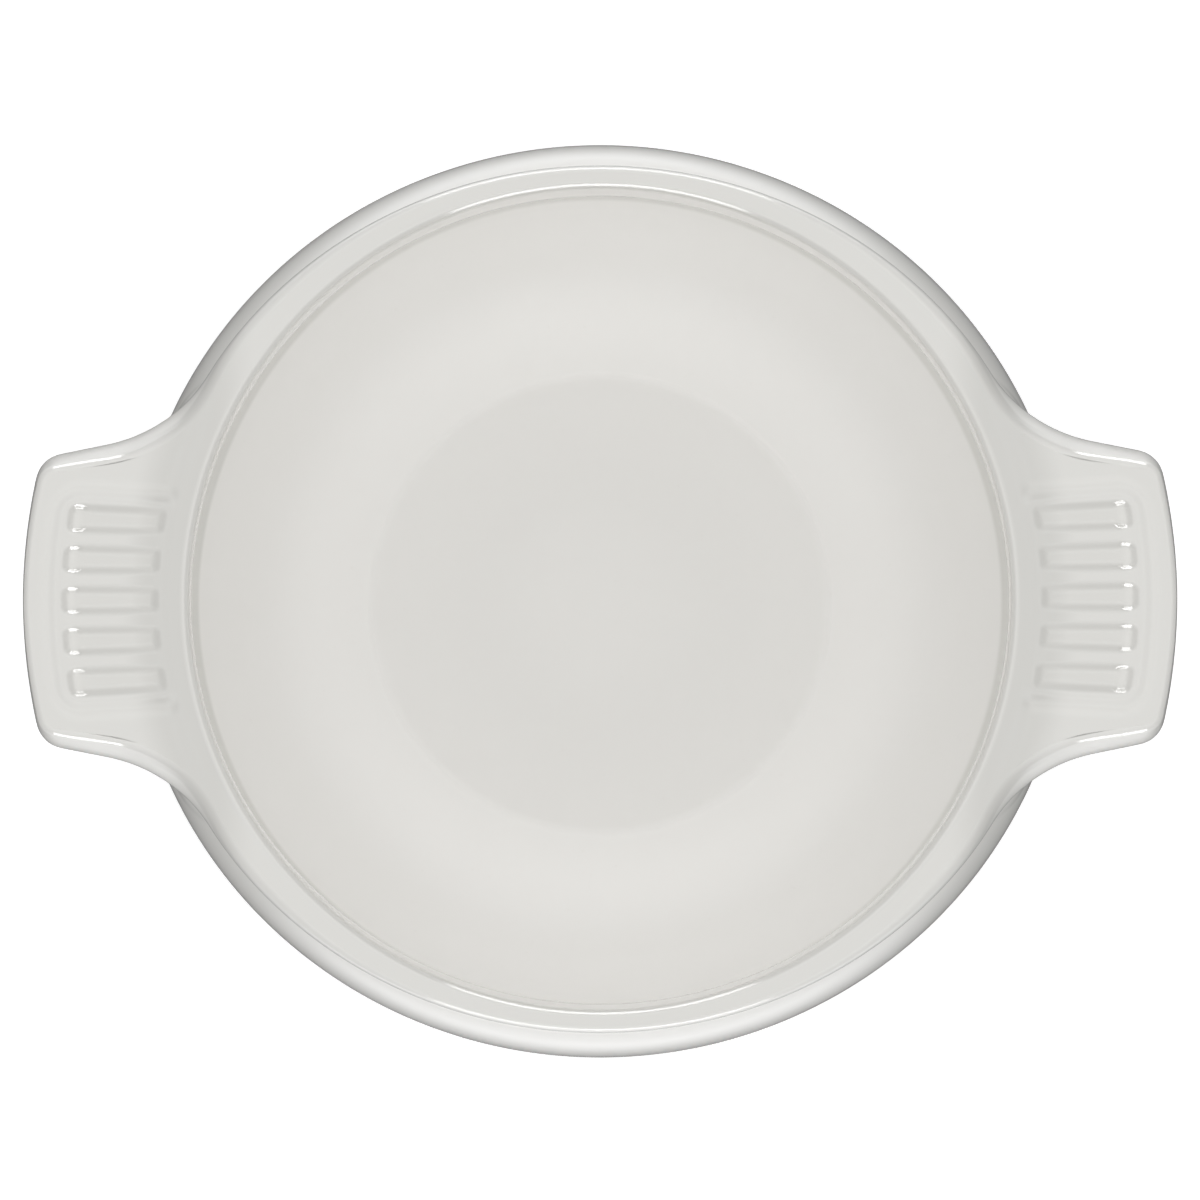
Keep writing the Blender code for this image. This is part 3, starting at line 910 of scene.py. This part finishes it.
def glaze_finish(nodes):
    """Colour, roughness and surface normal of the white glaze."""
    colour = glaze_colour(nodes)
    rough = nodes.ramp(nodes.noise(SHINE_SIZE, 2.0), *NOISE_MIDDLE, SMOOTH, LESS_SMOOTH)
    ripple = nodes.bump(nodes.noise(RIPPLE_SIZE, 1.0), RIPPLE_DEPTH, BUMP_STRENGTH)
    normal = nodes.bump(nodes.noise(PEEL_SIZE, 1.0), PEEL_DEPTH, BUMP_STRENGTH, ripple)
    return colour, rough, normal


def make_glaze():
    nodes = Nodes("white_glaze")
    colour, rough, normal = glaze_finish(nodes)
    nodes.set(Base_Color=colour, Roughness=rough, Normal=normal)
    return nodes.material


def make_foot_finish():
    """The foot ring: glazed, with buff clay showing where it was wiped clean to stand on."""
    nodes = Nodes("foot_glaze_and_clay")
    colour, rough, normal = glaze_finish(nodes)
    z = nodes.add("ShaderNodeSeparateXYZ", {0: nodes.place}).outputs[2]
    shift = WIPED_WANDER * MM
    wander = nodes.ramp(nodes.noise(WIPED_SIZE, 2.0), *NOISE_MIDDLE, -shift, shift)
    bare = nodes.fade(nodes.maths("ADD", z, wander), WIPED)
    grain = nodes.noise(GRAIN_SIZE, 3.0)
    clay = nodes.mix(nodes.ramp(grain, *GRAIN_MIDDLE), CLAY_DARK, CLAY_LIGHT)
    speck = nodes.ramp(nodes.noise(SPECK_SIZE, 0.0), *SPECK_LIMITS, 0.0, SPECK_STRENGTH)
    clay = nodes.mix(speck, clay, CLAY_SPECK)
    rough = nodes.maths("ADD", nodes.maths("MULTIPLY", bare, CLAY_ROUGHNESS), rough)
    normal = nodes.bump(nodes.maths("MULTIPLY", grain, bare), GRAIN_DEPTH, GRAIN_STRENGTH, normal)
    nodes.set(Base_Color=nodes.mix(bare, colour, clay), Roughness=rough, Normal=normal)
    return nodes.material


# ---------------------------------------------------------------- floor and backdrop


def staged(name, shape, nodes, height=0.0):
    mesh = bpy.data.meshes.new(name)
    shape.to_mesh(mesh)
    shape.free()
    mesh.materials.append(nodes.material)
    item = bpy.data.objects.new(name, mesh)
    item.location.z = height
    bpy.context.scene.collection.objects.link(item)
    return item


def disc():
    shape = bmesh.new()
    bmesh.ops.create_circle(shape, cap_ends=True, segments=STAGE_SEGMENTS, radius=STAGE_RADIUS)
    return shape


def for_camera_only(item):
    item.visible_diffuse = False
    item.visible_glossy = False
    item.visible_shadow = False


def make_floor():
    """A bright floor that only the camera sees."""
    bright = Nodes("pale_floor")
    bright.set(Base_Color=FLOOR_WHITE, Roughness=STAGE_ROUGHNESS, Specular_IOR_Level=0.0)
    bright.set(Emission_Color=(1, 1, 1, 1), Emission_Strength=FLOOR_GLOW)
    for_camera_only(staged("floor", disc(), bright))


def make_table():
    """A duller floor that the camera does not see; its glow in front and behind lights the dish."""
    dull = Nodes("table_top")
    x, y, _ = dull.add("ShaderNodeSeparateXYZ", {0: dull.place}).outputs
    reach = dull.length(x, y)
    away = dull.rise(reach, TABLE_RING)
    ends = dull.rise(dull.size(dull.maths("ADD", y, TABLE_SHIFT * MM)), TABLE_ENDS)
    facing = dull.size(dull.maths("DIVIDE", y, reach))
    ends = dull.maths("MULTIPLY", ends, dull.ramp(facing, *TABLE_FACING))
    glow = dull.maths("MULTIPLY_ADD", dull.maths("MULTIPLY", away, ends), TABLE_FAR, TABLE_NEAR)
    dull.set(Base_Color=TABLE_GREY, Roughness=STAGE_ROUGHNESS)
    dull.set(Emission_Color=TABLE_GLOW_COLOUR, Emission_Strength=glow)
    staged("table_top", disc(), dull, -TABLE_DROP * MM).visible_camera = False


def make_backdrop():
    """A far wall that only the camera sees."""
    pale = Nodes("pale_backdrop")
    pale.set(Base_Color=(0, 0, 0, 1), Emission_Color=(1, 1, 1, 1), Emission_Strength=BACKDROP_GLOW)
    wall = bmesh.new()
    tall = {"radius1": STAGE_RADIUS, "radius2": STAGE_RADIUS, "depth": 2 * STAGE_RADIUS}
    bmesh.ops.create_cone(wall, segments=STAGE_SEGMENTS, **tall)
    for_camera_only(staged("backdrop", wall, pale))


# ---------------------------------------------------------------- light and camera


def area_light(name, away, power):
    """A panel that shows only in the glaze's shine; the world and the table give the even light."""
    light = bpy.data.lights.new(name, "AREA")
    light.shape = "RECTANGLE"
    light.size, light.size_y = LIGHT_SIZE
    light.energy = power
    item = bpy.data.objects.new(name, light)
    item.visible_camera = False
    item.visible_diffuse = False
    place = Vector((0, away, LIGHT_UP))
    item.location = place
    item.rotation_euler = (Vector(LIGHT_AIM) - place).to_track_quat("-Z", "Y").to_euler()
    bpy.context.scene.collection.objects.link(item)


def make_world():
    """Soft studio light from all round, by direction: x, y and z run over a unit sphere."""
    world = bpy.data.worlds.new("studio")
    world.use_nodes = True
    tree = world.node_tree
    place = tree.nodes.new("ShaderNodeTexCoord")
    parts = tree.nodes.new("ShaderNodeSeparateXYZ")
    tree.links.new(place.outputs["Generated"], parts.inputs[0])
    x, y, z = parts.outputs

    def maths(kind, *values):
        node = tree.nodes.new("ShaderNodeMath")
        node.operation = kind
        for socket, value in zip(node.inputs, values):
            if isinstance(value, (int, float)):
                socket.default_value = value
            else:
                tree.links.new(value, socket)
        return node.outputs[0]

    xx, yy, zz = (maths("MULTIPLY", part, part) for part in (x, y, z))
    side = maths("MULTIPLY_ADD", xx, WORLD_SIDES, maths("MULTIPLY_ADD", yy, WORLD_ENDS, WORLD_UP))
    strength = maths("MULTIPLY_ADD", zz, side, maths("MULTIPLY", yy, WORLD_ACROSS))
    background = tree.nodes["Background"]
    background.inputs["Color"].default_value = (1, 1, 1, 1)
    tree.links.new(strength, background.inputs["Strength"])
    bpy.context.scene.world = world


def make_light():
    make_world()
    area_light("low_back", LIGHT_AWAY, LIGHT_BACK)
    area_light("low_front", -LIGHT_AWAY, LIGHT_FRONT)


def make_camera():
    camera = bpy.data.cameras.new("camera")
    camera.sensor_width = SENSOR
    camera.lens = SENSOR * CAMERA_DISTANCE / SEEN_WIDTH
    camera.clip_end = CLIP_END
    item = bpy.data.objects.new("camera", camera)
    bpy.context.scene.collection.objects.link(item)
    away = Vector((0, -math.sin(CAMERA_TILT), math.cos(CAMERA_TILT)))
    item.location = CAMERA_TARGET + CAMERA_DISTANCE * away
    item.rotation_euler = (CAMERA_TILT, 0, CAMERA_ROLL)
    bpy.context.scene.camera = item


def main():
    make_camera()
    make_light()
    make_floor()
    make_table()
    make_backdrop()
    glaze = make_glaze()
    make_pieces(glaze, make_foot_finish())
    bpy.context.scene.view_settings.view_transform = "Standard"


main()
